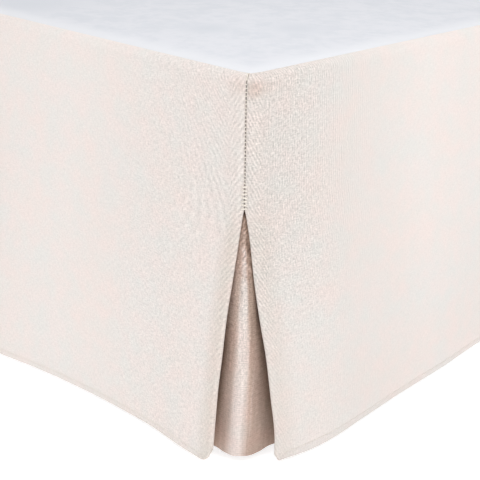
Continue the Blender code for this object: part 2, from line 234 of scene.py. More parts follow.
def foldAt(drop, depth):
    level = cornerLevel(depth)
    turn = radians(level[drop[0] + "Turn"])
    towards = Vector((-cos(turn), -sin(turn)))
    inward = Vector((sin(turn), -cos(turn)))
    radius = level["foldRadius"]
    tip = Vector((level[drop[0] + "Along"], level[drop[0] + "Out"]))
    notch = drops["notch"] * ramp(depth, *drops["notchAbove"]) * ramp(depth, *drops["notchBelow"])
    end = tip - towards * (drops["seamGap"] + notch + bed["cloth"] / 2 + radius)
    return {"turn": turn, "towards": towards, "inward": inward, "radius": radius, "end": end,
            "centre": end + inward * bed["cornerRadius"], "gap": level["returnGap"]}


def facePlace(drop, kind, value, depth, fold):
    if kind == "turn":
        angle = fold["turn"] * value
        inward = Vector((sin(angle), -cos(angle)))
        return fold["centre"] - inward * bed["cornerRadius"], inward
    start = fold["centre"] + Vector((0.0, bed["cornerRadius"]))
    along = start.x + max(value - start.x, 0.0)
    pull = start.y - swingOut(drop, start.x, depth)
    fade = 1 - smooth((along - start.x) / drops["fadeLength"])
    return Vector((along, swingOut(drop, along, depth) + pull * fade)), Vector((0.0, -1.0))


def foldedGap(place, fold):
    reach = ramp(place.x, fold["end"].x, drops["returnEnd"])
    return 2 * fold["radius"] + (fold["gap"] - 2 * fold["radius"]) * reach


def columnPlace(drop, column, depth, inset=0.0):  # inset is how far the hem has turned up inside
    part, kind, value = column
    fold = foldAt(drop, depth)
    if part == "fold":
        angle, radius = radians(value), fold["radius"] - inset
        place = fold["end"] + fold["towards"] * radius * sin(angle)
        return place, fold["inward"], fold["radius"] - radius * cos(angle)
    place, inward = facePlace(drop, kind, value, depth, fold)
    layer = foldedGap(place, fold) - inset if part == "return" else inset
    return place, inward, layer


def hemRise(drop, column):  # shortens a column at the flap's round corner and lets it sag beside that
    part, kind, value = column
    fold = foldAt(drop, bed["drop"])
    if part == "fold":
        behind = value / 180
        fromTip = fold["radius"] * max(drops["foldShare"] - sin(radians(value)), 0.0)
    else:
        behind = 1.0 if part == "return" else 0.0
        place, _ = facePlace(drop, kind, value, bed["drop"], fold)
        fromTip = drops["foldShare"] * fold["radius"] + (place - fold["end"]).length
    reachAlong, reachUp = drops["hemRounding"][drop[0]]
    short = 1 - min(fromTip / reachAlong, 1.0)
    rounded = reachUp * (1 - sqrt(1 - short ** drops["hemPower"]))
    middle, width, low = drops["hemSag"][drop[0]]
    return rounded + drops["returnShorter"] * behind - low * exp(-((fromTip - middle) / width) ** 2)


def hangStations(rowStops):  # (depth, inset) down the cloth, round the hem's edge and up inside it
    turn = drops["hemTurn"]
    stations = [(depth, 0.0) for depth in [bed["rollDepth"]] + gradedPlaces(bed["rollDepth"], rowStops)]
    for step in range(drops["hemSteps"] + 1):
        angle = pi * step / drops["hemSteps"]
        stations.append((bed["drop"] - turn + turn * sin(angle), turn * (1 - cos(angle))))
    return stations + [(bed["drop"] - drops["hemDeep"] * share, 2 * turn) for share in drops["hemShares"]]


def hangColumn(drop, placeAt, rise, relief, rowStops):  # from under the decking over the edge to the hem
    points, depths = [], []
    place, inward, layer = placeAt(0.0, 0.0)
    radius = bed["edgeRoll"] - layer
    start = bed["top"] - bed["rollDepth"]

    def hang(plan, height, depth):
        points.append(dropPoint(drop, plan.x, plan.y, height))
        depths.append(depth)

    for distance in drops["seamAllowance"]:
        plan = place + inward * (bed["edgeRoll"] + distance)
        hang(plan, start + radius, bed["rollDepth"] - radius * pi / 2 - distance)
    for step in range(drops["rollSteps"]):
        angle = pi / 2 * (1 - step / drops["rollSteps"])
        plan = place + inward * (layer + radius * (1 - cos(angle)))
        hang(plan, start + radius * sin(angle), bed["rollDepth"] - radius * angle)
    for stationDepth, inset in hangStations(rowStops):
        lower = (stationDepth - drops["riseFrom"]) / (bed["drop"] - drops["riseFrom"])
        depth = stationDepth - rise * max(lower, 0.0)
        place, inward, layer = placeAt(depth, inset)
        hang(place + inward * (layer - relief(depth)), bed["top"] - depth, depth + inset)
    return points, depths


def addAttribute(obj, label, kind, values):
    attribute = obj.data.attributes.new(label, kind, "POINT")
    attribute.data.foreach_set("vector" if kind == "FLOAT_VECTOR" else "value", values)


def addThickness(obj, thickness):
    solid = obj.modifiers.new("cloth", "SOLIDIFY")
    solid.thickness = thickness
    solid.offset = 0.0


def meshObject(name, bm, materials):
    mesh = bpy.data.meshes.new(name)
    bm.to_mesh(mesh)
    bm.free()
    mesh.shade_smooth()
    for material in materials:
        mesh.materials.append(material)
    obj = bpy.data.objects.new(name, mesh)
    bpy.context.scene.collection.objects.link(obj)
    return obj


def gridMesh(across, down):  # with each point, its column from the left and its row from the top
    bm = bmesh.new()
    bmesh.ops.create_grid(bm, x_segments=across, y_segments=down, size=0.5)
    return bm, [(vert, round((vert.co.x + 0.5) * across), round((0.5 - vert.co.y) * down))
                for vert in bm.verts]


def sheetFromColumns(name, materials, columns, cuts, label, shades):
    # each vertex keeps its place on the flat cloth, in metres, which the weave follows
    bm, points = gridMesh(len(columns) - 1, len(columns[0]) - 1)
    for vert, column, row in points:
        vert.co = columns[column][row]
    order = [(column, row) for _, column, row in points]
    obj = meshObject(name, bm, materials)
    addAttribute(obj, "cut", "FLOAT_VECTOR", [n for column, row in order for n in cuts[column][row]])
    addAttribute(obj, label, "FLOAT", [shades[column][row] for column, row in order])
    addThickness(obj, bed["cloth"])
    return obj


def finishPiece(obj, nodes=()):
    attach(obj, "root")
    if nodes:
        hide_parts(*nodes)


# materials
# kinds of node: name, settings, the sockets that its inputs go to, in order, and the output that is used
nodeKind = namedtuple("nodeKind", "name settings sockets output", defaults=({}, range(9), 0))
sine, cosine, absolute, add, subtract, multiply, multiplyAdd, compare, lessThan, minimum, maximum = (
    nodeKind("Math", {"operation": word}) for word in (
        "SINE", "COSINE", "ABSOLUTE", "ADD", "SUBTRACT", "MULTIPLY", "MULTIPLY_ADD", "COMPARE", "LESS_THAN",
        "MINIMUM", "MAXIMUM"))
distance = nodeKind("VectorMath", {"operation": "DISTANCE"}, output=1)
scaled = nodeKind("VectorMath", {"operation": "SCALE"}, (0, 3))
evenRange = nodeKind("MapRange")
softRange = nodeKind("MapRange", {"interpolation_type": "SMOOTHSTEP"})
blend = nodeKind("Mix", {"data_type": "RGBA"}, (0, 6, 7), 2)
tint = nodeKind("Mix", {"data_type": "RGBA", "blend_type": "MULTIPLY"}, (0, 6, 7), 2)
stretched = nodeKind("Mapping", sockets=("Vector", "Scale"))
clouds = nodeKind("TexNoise", sockets=("Vector", "Scale", "Detail", "Roughness"))
cells = nodeKind("TexVoronoi", sockets=("Vector", "Scale"))
raised = nodeKind("Bump", sockets=("Strength", "Distance", "Height"))
separate, combine, shadeRamp = (nodeKind(name) for name in ("SeparateXYZ", "CombineXYZ", "ValToRGB"))
ownPlace = nodeKind("TexCoord", output=3)
cutPlace, aroundPlace = (
    nodeKind("Attribute", {"attribute_name": name}, output=1) for name in ("cut", "around"))
paintedPleatShadeShare, paintedPuckerShadeShare = (
    nodeKind("Attribute", {"attribute_name": name}, output=2) for name in ("tuck", "blush"))
surface = {"IOR": 1.5, "Specular IOR Level": 0.25}  # the faint sheen that every material has


def addNode(tree, kind, *inputs, output=None):  # an input is a socket, a value or a colour's code
    made = tree.nodes.new("ShaderNode" + kind.name)
    for key, value in kind.settings.items():
        setattr(made, key, value)
    for socket, value in zip(kind.sockets, inputs):
        if isinstance(value, bpy.types.NodeSocket):
            tree.links.new(value, made.inputs[socket])
        else:
            made.inputs[socket].default_value = hexToLinear(value) if isinstance(value, str) else value
    return made.outputs[kind.output if output is None else output]


def newMaterial(name, roughness):
    material = bpy.data.materials.new(name)
    material.use_nodes = True
    shader = material.node_tree.nodes["Principled BSDF"]
    for socket, value in {"Roughness": roughness, **surface}.items():
        shader.inputs[socket].default_value = value
    return material, partial(addNode, material.node_tree), shader


def joinShader(node, shader, colour, height=None, bump=()):  # bump is strength and distance in metres
    links = shader.id_data.links
    links.new(colour, shader.inputs["Base Color"])
    if bump:
        links.new(node(raised, *bump, height), shader.inputs["Normal"])


skirtCloth = {
    "cream": "E4DFDC", "seamCreamAndShade": "D2CDC9", "blush": "C4AEA4", "roughness": 0.9, "bump": (0.5, 0.0004),
    # what differs between the foot drop, first, and the other pieces, second
    "bySide": {
        "far": ((0.085, 0.190), (0.050, 0.130)),  # along the cloth, where the weave gets fainter
        "seamToneAndShade": ((0.240, 0.55), (0.250, 1.00)),  # how far from the seam the darker cream and painted shade reach, share
        "edge": ((0.006, 0.026, 1.0), (0.010, 0.034, 0.5)),  # painted shade along the fold's edge: full until, none from, share
    },
    # fades down the cloth: from, to, value above, value below
    "fades": {"seamToneAndShade": (0.10, 0.30, 1.0, 0.5), "hem": (0.3743, 0.3752, 0.0, 1.0),
              "edge": (0.100, 0.160, 0.2, 1.0), "side": (0.150, 0.370, 0.0, 0.03)},
    "hemTints": ("FBFBFA", "FBFBFB"), "foldEdgePaintedShade": "F6F2EE",
    # blotches 24 and 77 mm across: how many a metre, warm tint, cool tint
    "hues": ((42.0, "FFFBFA", "FAFCFB"), (13.0, "FEFAF9", "FBFBFB")), "hueRange": (0.35, 0.65),
    # uneven threads: noise 7 mm across bends the ribs, and noise 8 mm across breaks them into dashes
    "drift": 1.1, "driftScale": 140.0, "dashScale": 125.0, "dashStretch": (1.6, 1.0, 1.0),
    "dashRange": (0.36, 0.64), "dashGain": 0.4, "grainRoughness": 0.6,
    "sideLower": (0.18, 0.29), "lowerShare": 0.45,  # depths between which a side drop's weave gets fainter
    "holeReach": (0.0005, 0.0013), "holeShade": 0.05, "holeRange": (0.2, -1.0),
    # painted shade inside the pleat: how dark it is, and the rosy brown that cream cloth takes in shade
    # there
    "paintedPleatShadeStops": ((0.0, "FFFFFF"), (0.12, "F4EFED"), (0.5, "D0BCB1"),
                  (0.7, "AA9688"), (0.85, "7C695E"), (1.0, "594A40")),
    # in the opening, how many a metre: weft ribs 2.3 mm apart and upright streaks 3.3 mm wide
    "weftTurns": 430.0, "weftDepth": 0.03, "streakScale": 300.0, "streakStretch": (1.0, 0.06, 1.0),
    "streakDepth": 0.34, "tuckGrain": (0.200, 0.370, 1.10, 0.42),  # depths, and the grain's strength there
}
# runs of slanting threads, which the seam draws in. Each row: drop (0 foot, 1 side, 2 underlay); turns a
# metre along and down the cloth, and how both change further down; where it starts and ends along the
# cloth; the depths between which it fades, and what is left below them; how strong it is; how broken up
weaveRuns = (
    (0.0, (210.0, -137.0, 0.0, 0.0), (-0.010, -0.001), (0.012, 0.019), (0.150, 0.350), 0.25, 0.085, 0.6),
    (0.0, (250.0, 262.0, -1200.0, -750.0), (0.012, 0.020), (0.030, 0.120), (0.130, 0.180), 0.0, 0.062, 1.0),
    (1.0, (320.0, -155.0, 0.0, 0.0), (-0.010, -0.001), (0.012, 0.019), (0.150, 0.350), 0.4, 0.110, 0.6),
    (1.0, (330.0, 0.0, 0.0, 0.0), (0.012, 0.022), (0.090, 0.200), (0.090, 0.240), 0.3, 0.085, 1.0),
    (2.0, (-210.0, 300.0, 0.0, -500.0), (0.100, 0.150), (0.400, 0.500), (0.150, 0.205), 0.0, 0.280, 0.9),
)
# warp and weft 1.3 mm apart, blotches 11 mm across: stretch, how many a metre, detail, strength near the
# seam and far from it on the foot drop, then on a side drop, and whether the underlay has its own strength
clothGrains = (
    ((1.0, 0.35, 1.0), 780.0, 2.0, (0.50, 0.23), (0.76, 0.15), True),
    ((0.35, 1.0, 1.0), 780.0, 2.0, (0.50, 0.23), (0.76, 0.15), True),
    ((1.0, 1.0, 1.0), 90.0, 1.0, (0.08, 0.03), (0.10, 0.03), False),
)


def clothPlaces(node):  # sockets for the place on the flat cloth, and for what changes with it
    look = skirtCloth
    cut = node(cutPlace)
    along, down, side = (node(separate, cut, output=n) for n in range(3))
    along = node(absolute, along)
    bySide = {name: [node(evenRange, side, 0.0, 1.0, foot, other) for foot, other in zip(*pair)]
              for name, pair in look["bySide"].items()}
    fades = {name: node(softRange, down, *fade) for name, fade in look["fades"].items()}
    far = node(softRange, along, *bySide["far"])
    return {"cut": cut, "along": along, "down": down, "side": side, "far": far,
            "bySide": bySide, "fades": fades}


def addRibs(node, at):  # the runs of slanting threads
    look = skirtCloth
    drift = node(clouds, at["cut"], look["driftScale"], 2.0)
    drift = node(multiply, drift, look["drift"])
    dashes = node(stretched, at["cut"], look["dashStretch"])
    dashes = node(clouds, dashes, look["dashScale"], 1.0)
    weave = 0.0
    for drop, turns, start, end, fade, left, strength, broken in weaveRuns:
        alongTurns, downTurns, alongChange, downChange = turns
        place = node(multiplyAdd, at["down"], alongChange, alongTurns)
        place = node(multiplyAdd, at["along"], place, drift)
        slant = node(multiplyAdd, at["down"], downChange, downTurns)
        place = node(multiplyAdd, at["down"], slant, place)
        wave = node(sine, node(multiply, place, 2 * pi))
        gain = (1 - broken, 1 + look["dashGain"] * broken)
        shares = (
            node(softRange, at["along"], *start, 0.0, strength),
            node(softRange, at["along"], *end, 1.0, 0.0),
            node(softRange, at["down"], *fade, 1.0, left),
            node(evenRange, dashes, *look["dashRange"], *gain),
            node(compare, at["side"], drop, 0.5))
        for share in shares:
            wave = node(multiply, wave, share)
        weave = node(add, weave, wave)
    return weave


def addThreads(node, at, weave, tucked):  # warp, weft and blotches, fainter away from the seam
    look = skirtCloth
    for stretch, scale, detail, foot, other, ownInTuck in clothGrains:
        grain = node(stretched, at["cut"], stretch)
        grain = node(clouds, grain, scale, detail, look["grainRoughness"])
        grain = node(subtract, grain, 0.5)
        if tucked and ownInTuck:  # more of it shows in the narrow part of the opening
            share = node(evenRange, at["down"], *look["tuckGrain"])
        else:
            lower = look["lowerShare"] * other[0]
            near = node(evenRange, at["down"], *look["sideLower"], other[0], lower)
            near = node(evenRange, at["side"], 0.0, 1.0, foot[0], near)
            away = node(evenRange, at["side"], 0.0, 1.0, foot[1], other[1])
            share = node(evenRange, at["far"], 0.0, 1.0, near, away)
        weave = node(multiplyAdd, grain, share, weave)
    if tucked:
        weft = node(sine, node(multiply, at["down"], 2 * pi * look["weftTurns"]))
        weave = node(multiplyAdd, weft, look["weftDepth"], weave)
        streaks = node(stretched, at["cut"], look["streakStretch"])
        streaks = node(clouds, streaks, look["streakScale"], 1.0)
        streaks = node(subtract, streaks, 0.5)
        weave = node(multiplyAdd, streaks, look["streakDepth"], weave)
    return weave


def addPaintedPleatShades(node):  # painted shade: the dark inside of the pleat
    shades = node(shadeRamp, node(paintedPleatShadeShare))
    stops = shades.node.color_ramp.elements
    for place, _ in skirtCloth["paintedPleatShadeStops"][1:-1]:
        stops.new(place)
    for stop, (place, code) in zip(stops, skirtCloth["paintedPleatShadeStops"]):
        stop.position, stop.color = place, hexToLinear(code)
    return shades


def addClothColour(node, at, tucked):
    look = skirtCloth
    reach, share = at["bySide"]["seamToneAndShade"]  # warmer and darker towards the seam: partly the weave showing more there, partly painted shade where the cloth turns into the seam
    seamToneAndShade = node(evenRange, at["along"], 0.0, reach, share, 0.0)
    seamToneAndShade = node(multiply, seamToneAndShade, at["fades"]["seamToneAndShade"])
    colour = node(blend, seamToneAndShade, look["cream"], look["seamCreamAndShade"])
    # painted shade, rosy, where the seam's top draws the cloth in
    colour = node(blend, node(paintedPuckerShadeShare), colour, look["blush"])

    # the turned hem lets less light through, painted shade darkens and warms the pressed folds' edges, and
    # the cream is a little uneven
    until, none, share = at["bySide"]["edge"]
    edge = node(softRange, at["along"], until, none, share, 0.0)
    edge = node(multiply, edge, at["fades"]["edge"])
    tints = [(at["fades"]["hem"], node(blend, at["side"], *look["hemTints"])), (edge, look["foldEdgePaintedShade"])]
    for scale, warm, cool in look["hues"]:
        hues = node(evenRange, node(clouds, at["cut"], scale, 2.0), *look["hueRange"])
        tints.append((1.0, node(blend, hues, warm, cool)))
    # inside the pleat, painted shade darkens the cloth towards the flaps
    if tucked:
        tints.append((1.0, addPaintedPleatShades(node)))
    for share, shade in tints:
        colour = node(tint, share, colour, shade)
    return colour


def addPaintedHoleShade(node, at):  # painted shade in the needle holes between the seam's stitches, as lightness round 1
    look = skirtCloth
    holes = node(subtract, at["down"], drops["firstStitch"])
    holes = node(cosine, node(multiply, holes, 2 * pi / drops["stitchPitch"]))
    holes = node(softRange, holes, *look["holeRange"], 0.0, 1.0)
    reached = node(softRange, at["along"], *look["holeReach"], -look["holeShade"], 0.0)
    reached = node(multiply, reached, node(lessThan, at["down"], drops["lastStitch"]))
    return node(multiplyAdd, holes, reached, 1.0)


def makeSkirtCloth(name, tucked):
    # tucked: the cloth inside the pleat, with more grain and painted shade
    # cotton and polyester weave: matt, with a faint upright rib that slants where the seam draws it in;
    # real threads are about 0.5 mm apart; they are drawn 1.3 mm apart, and the ribs 3 mm, so that they show
    look = skirtCloth
    material, node, shader = newMaterial(name, look["roughness"])
    at = clothPlaces(node)
    weave = addThreads(node, at, addRibs(node, at), tucked)
    light = node(add, weave, addPaintedHoleShade(node, at))
    # painted shade: the side drops a little darker low down and away from the seam
    lower = node(multiply, at["fades"]["side"], at["far"])
    lower = node(multiply, lower, node(compare, at["side"], 1.0, 0.5))
    light = node(subtract, light, lower)
    colour = node(scaled, addClothColour(node, at, tucked), light)
    joinShader(node, shader, colour, weave, look["bump"])
    return material


deckingCloth = {
    "light": "D3D4D9", "grey": "C8CBD1", "border": "D9DADE", "borderWidth": (0.010, 0.045),
    # patches 22 mm across, partly uneven tone, partly painted shade of soft wrinkles: how many a metre,
    # detail, roughness
    "patches": (45.0, 5.0, 0.65), "patchRange": (0.38, 0.66), "patchGrey": 0.65,
    "bondPoints": 420.0,  # a metre: 2.4 mm apart, coarser than the real 1 mm ones so that they show
    "roughness": 0.85, "bump": (0.15, 0.0002),
    # painted shade where the cloth lies hollow: in from the plumb lines of side and foot, radius, share
    "paintedHollowShades": ((0.179, 0.118, 0.045, 0.9), (0.119, 0.189, 0.045, 0.8), (0.420, 0.060, 0.110, 0.7),
                (0.300, 0.330, 0.090, 0.6)),
}


def makeDeckingCloth():
    # thin spunbonded lining: smooth, pale blue grey, with painted shade where it lies hollow
    look = deckingCloth
    material, node, shader = newMaterial("spunbondGreyLining", look["roughness"])
    place = node(ownPlace)
    across, down = (node(separate, place, output=n) for n in range(2))
    across = node(subtract, bed["plumbX"], node(absolute, across))
    down = node(subtract, down, bed["footY"])
    fromCorner = node(combine, across, down)
    patches = node(clouds, place, *look["patches"])
    grey = node(softRange, patches, *look["patchRange"], 0.0, look["patchGrey"])
    for inX, inY, radius, share in look["paintedHollowShades"]:
        away = node(distance, fromCorner, (inX, inY, 0.0))
        grey = node(maximum, grey, node(softRange, away, 0.0, radius, share, 0.0))
    colour = node(blend, grey, look["light"], look["grey"])
    # painted light: lighter along the edges, where the sheet lies flat
    border = node(softRange, node(minimum, across, down), *look["borderWidth"], 1.0, 0.0)
    colour = node(blend, border, colour, look["border"])
    joinShader(node, shader, colour, node(cells, place, look["bondPoints"]), look["bump"])
    return material


ticking = {
    "cream": "D8D5CC", "stripe": "CBC9C1", "stripePitch": 0.022, "stripeRange": (0.1, 0.5),
    "grainScale": 900.0,  # threads a metre: 1.1 mm apart, coarser than the real 0.4 mm so that they show
    "roughness": 0.85, "bump": (0.3, 0.0004),
}


def makeTicking():
    # cotton ticking over the box spring: plain, with a faint self stripe
    look = ticking
    material, node, shader = newMaterial("cottonTicking", look["roughness"])
    place = node(aroundPlace)
    stripes = node(multiply, node(separate, place), 2 * pi / look["stripePitch"])
    stripes = node(softRange, node(sine, stripes), *look["stripeRange"])
    colour = node(blend, stripes, look["cream"], look["stripe"])
    joinShader(node, shader, colour, node(clouds, place, look["grainScale"]), look["bump"])
    return material


legWood = {
    "dark": "2A211C", "light": "43352B", "roughness": 0.4,
    # grain 6 mm wide, coarser than real beech so that it shows, and 78 mm long
    "grainScale": 160.0, "grainStretch": (1.0, 1.0, 0.08),
}


def makeLegWood():
    # turned beech, stained dark and lacquered satin: long grain up the leg
    look = legWood
    material, node, shader = newMaterial("stainedBeech", look["roughness"])
    drawn = node(stretched, node(ownPlace), look["grainStretch"])
    grain = node(clouds, drawn, look["grainScale"], 4.0)
    joinShader(node, shader, node(blend, grain, look["dark"], look["light"]))
    return material


threadLook = {
    "cream": "E8E1D8", "shade": "D8D0C5", "roughness": 0.7, "twistScale": 2500.0,  # twist 0.4 mm long
}


def makeThread():
    # spun polyester sewing thread, a shade paler than the cloth, with a two-ply twist
    look = threadLook
    material, node, shader = newMaterial("spunThread", look["roughness"])
    twist = node(clouds, node(ownPlace), look["twistScale"])
    joinShader(node, shader, node(blend, twist, look["shade"], look["cream"]))
    return material


clothMaterial = makeSkirtCloth("wovenCreamCloth", False)
# the cloth inside the pleat, with its shade painted into the colour
pleatClothWithPaintedShade = makeSkirtCloth("wovenCreamClothInTuck", True)
deckingMaterial = makeDeckingCloth()
tickingMaterial = makeTicking()
woodMaterial = makeLegWood()
threadMaterial = makeThread()
print("materials made")


# drops
def nearColumns(run):
    turned = [("turn", 1 - step / drops["turnSteps"]) for step in range(drops["turnSteps"])]
    fold = foldAt((run, 1, "foot" if run == "foot" else "sideRight"), bed["drop"])
    start = fold["centre"].x + drops["nearStart"]
    return turned + [("along", place) for place in gradedPlaces(start, drops["nearStops"])]


def dropColumns(run, farPlaces):
    near = nearColumns(run)
    columns = [("return",) + column for column in reversed(near)]
    steps = drops["foldSteps"]
    columns += [("fold", "angle", 180 * (steps - n) / steps) for n in range(1, steps)]
    columns += [("face",) + column for column in near]
    return columns + [("face", "along", place) for place in farPlaces]


def clothLengths(drop, columns):  # how far along the cloth each column is from the fold's tip, by level
    tip = next(n for n, column in enumerate(columns) if column[0] == "fold" and column[2] == 90)
    levels = []
    for depth in drops["lengthDepths"]:
        places = [columnPlace(drop, column, depth) for column in columns]
        plans = [place + inward * layer for place, inward, layer in places]
        lengths = [0.0]
        for before, after in zip(plans, plans[1:]):
            lengths.append(lengths[-1] + (after - before).length)
        levels.append([length - lengths[tip] for length in lengths])
    return [list(zip(drops["lengthDepths"], column)) for column in zip(*levels)]


def faceRelief(drop, length, depth):  # waves that die out at the edges, puckers at the seam, creases
    run, side, _ = drop
    fade = ramp(depth, *drops["waveTop"]) * ramp(depth, *drops["waveHem"]) * ramp(length, *drops["waveNear"])
    alongTurns, downTurns = drops["waveTurns"]
    place = Vector((length * alongTurns * side, depth * downTurns, drops["waveSeeds"][run]))
    wave = noise.noise(place) * drops["wave"] * fade
    pucker = drops["pucker"] * sin(2 * pi * depth / drops["stitchPitch"])
    pucker *= exp(-length / drops["puckerReach"]) * ramp(depth, *drops["puckerDepth"])
    return wave + pucker + creaseLift(dropCreases, run, length, depth)


# painted shade where the seam's top draws the cloth in
def paintedPuckerShadeAt(run, length, depth):
    strength, along, width, middle, height, blunt = drops["blush"][run]
    return strength * exp(-(((length - along) / width) ** 2 + ((depth - middle) / height) ** 2) ** blunt)


def dropSheet(drop, columns):
    points, cuts, paintedPuckerShades = [], [], []
    hand = 0.0 if drop[0] == "foot" else 1.0
    for column, lengths in zip(columns, clothLengths(drop, columns)):
        outer = column[0] == "face"

        def relief(depth):
            return faceRelief(drop, curveThrough(lengths, depth), depth) if outer else 0.0

        hung, depths = hangColumn(
            drop, lambda depth, inset: columnPlace(drop, column, depth, inset), hemRise(drop, column),
            relief, drops["rowStops"])
        points.append(hung)
        cuts.append([(curveThrough(lengths, depth), depth, hand) for depth in depths])
        paintedPuckerShades.append([paintedPuckerShadeAt(drop[0], length, depth) if outer else 0.0 for length, depth, _ in cuts[-1]])
    return points, cuts, paintedPuckerShades


def makeFootDrop():
    half = bed["plumbX"]
    places = gradedPlaces(drops["returnEnd"], drops["farStops"])
    columns = dropColumns("foot", [place for place in places if place < half - drops["middleGap"]])
    left = dropSheet(("foot", -1, "foot"), columns)
    right = dropSheet(("foot", 1, "foot"), columns + [("face", "along", half)])
    points, cuts, paintedPuckerShades = (l + r[::-1] for l, r in zip(left, right))
    return sheetFromColumns("footDrop", [clothMaterial], points, cuts, "blush", paintedPuckerShades)


def makeSideDrop(name, side, swing):
    stops = drops["farStops"][:1] + ((bed["length"], drops["farStops"][1][1]),)
    columns = dropColumns("side", gradedPlaces(drops["returnEnd"], stops))
    points, cuts, paintedPuckerShades = dropSheet(("side", side, swing), columns)
    return sheetFromColumns(name, [clothMaterial], points, cuts, "blush", paintedPuckerShades)


footDrop = makeFootDrop()
sideDropRight = makeSideDrop("sideDropRight", 1, "sideRight")
sideDropLeft = makeSideDrop("sideDropLeft", -1, "sideLeft")
finishPiece(footDrop, ["foot_drop"])
finishPiece(sideDropRight, ["side_drop_right"])
finishPiece(sideDropLeft, ["side_drop_left"])
print("drops hung")


# underlays behind the two foot corners
underlay = {
    "firstColumn": 0.0235, "arcSteps": 22, "stops": ((0.045, 0.002), (0.110, 0.005)),
    "meanRadius": 0.0195, "joint": 0.0007, "cutFrom": 0.25, "narrowest": 0.0005,
    # the bowed middle: height, half width, and its none and full depths
    "bow": 0.0012, "bowWidth": 0.012, "bowBelow": (0.150, 0.250), "bowHem": (0.381, 0.351),
    # the creases' none and full depths, and how much their lift lightens or darkens the painted pleat shade
    "creaseBelow": (0.130, 0.150), "creaseHem": (0.372, 0.352), "creasePaintedShade": 300.0,
    # where the bowed cloth catches the light: depth, share of the opening from the foot drop's flap
    "ridge": ((0.122, 0.58), (0.205, 0.58), (0.250, 0.50), (0.310, 0.40), (0.360, 0.34), (0.381, 0.33)),
    # how far the hem rises above the drops': across from the middle towards the foot drop, rise
    "hemRises": ((-0.060, 0.0042), (-0.030, 0.0034), (-0.024, 0.0022), (-0.018, 0.0010), (-0.011, 0.0013),
                 (0.000, 0.0018), (0.011, 0.0006), (0.020, 0.0010), (0.030, 0.0032), (0.060, 0.0042)),
    "rowStops": ((0.030, 0.0025), (0.122, 0.006), (0.205, 0.0018), (0.355, 0.006), (0.378, 0.0035)),
}
underlayCreases = (  # run, across from the middle towards the foot drop, depth, slant, length, width, height
    ("under", 0.001, 0.166, -52.0, 0.022, 0.0016, 0.0007),
    ("under", -0.001, 0.178, -48.0, 0.020, 0.0016, 0.0006),
    ("under", 0.003, 0.188, -30.0, 0.012, 0.0012, -0.0005),
    ("under", 0.000, 0.150, -60.0, 0.016, 0.0012, 0.0004),
    ("under", -0.004, 0.270, 88.0, 0.090, 0.0011, 0.0003),
    ("under", -0.010, 0.320, 87.0, 0.080, 0.0012, 0.0003),
    ("under", 0.006, 0.240, 92.0, 0.080, 0.0013, 0.0003),
)
# painted shade inside the pleat: on the ridge, then down to the foot drop's flap and to the side drop's
paintedPleatShadeLook = {
    "ridge": 0.12, "upper": 0.04, "top": 0.38, "darkest": 0.90, "darkestTop": 0.12,
    # none and full depths of the closed tip, the top, the upper part, the light hem, the foot flap's edge
    "depths": ((0.132, 0.124), (0.200, 0.140), (0.340, 0.260), (0.315, 0.365), (0.200, 0.280)),
    "footStep": (0.05, 0.50), "footFirst": 0.33, "footTop": 0.85, "footSecond": 0.33, "footHem": 0.55,
    "sideStep": (0.08, 0.38), "sideFirst": 0.40, "sideTop": 0.15, "sideSecond": 0.23, "sideHem": 0.13,
    "sideBulge": (0.08, 0.225, 0.03), "sideRidge": (0.22, 0.3), "secondStep": (0.55, 1.0),
}


def underlayRun(drop, along, depth):
    near = cornerLevel(depth)["underFoot" if drop[0] == "foot" else "underSide"]
    fold = foldAt(drop, depth)
    face, _ = facePlace(drop, "along", along, depth, fold)
    behind = face.y - foldedGap(face, fold) - drops["layerStep"]
    return near + (behind - near) * ramp(along, bed["cornerRadius"], drops["returnEnd"])


def underlayPlace(side, swing, kind, value, depth, inset=0.0):
    level = cornerLevel(depth)
    radius = level["underRadius"]
    layer = 2 * drops["layerStep"]
    if kind == "arc":
        centre = Vector((radius - level["underSide"], level["underFoot"] - radius))
        inward = Vector((sin(value), -cos(value)))
        return centre - inward * (radius + layer), inward, layer + inset
    if kind == "foot":
        out = underlayRun(("foot", side, "foot"), value, depth)
        return Vector((value, out + layer)), Vector((0.0, -1.0)), layer + inset
    out = underlayRun(("side", side, swing), value, depth)
    return Vector((-out - layer, -value)), Vector((1.0, 0.0)), layer + inset


def openingShare(side, swing, plan, depth):  # 0 at the foot drop's flap, 1 at the side drop's
    edges = []
    for drop in (("foot", side, "foot"), ("side", side, swing)):
        fold = foldAt(drop, depth)
        middle = fold["end"] + fold["inward"] * fold["radius"]
        edges.append((middle.x + middle.y) / sqrt(2) - fold["radius"] - bed["cloth"] / 2)
    across = (plan.x + plan.y) / sqrt(2)
    return (edges[0] - across) / max(edges[0] + edges[1], underlay["narrowest"])


def paintedPleatShadeAt(share, depth):  # painted shade: light on the ridge, then two soft steps darker down to each flap's edge
    look = paintedPleatShadeLook
    ridge = curveThrough(underlay["ridge"], max(depth, drops["seamClosed"]))
    tip, top, upper, hem, footLow = (ramp(depth, *depths) for depths in look["depths"])
    shade = look["ridge"] + look["upper"] * upper + look["top"] * top
    if share < ridge:
        away = (ridge - share) / ridge
        first = look["footFirst"] * (1 - look["footTop"] * top) * ramp(away, *look["footStep"])
        second = look["footSecond"] * footLow * (1 - look["footHem"] * hem)
    else:
        away = (share - ridge) / (1 - ridge)
        more, middle, height = look["sideBulge"]
        first = look["sideFirst"] - look["sideTop"] * top + more * exp(-((depth - middle) / height) ** 2)
        first *= ramp(away, *look["sideStep"])
        second = look["sideSecond"] - look["sideHem"] * hem
        shade += look["sideRidge"][0] * top * ramp(away, 0.0, look["sideRidge"][1])
    shade += first + second * ramp(away, *look["secondStep"])
    shade = min(shade, look["darkest"] - look["darkestTop"] * top)
    return shade + (1 - shade) * tip


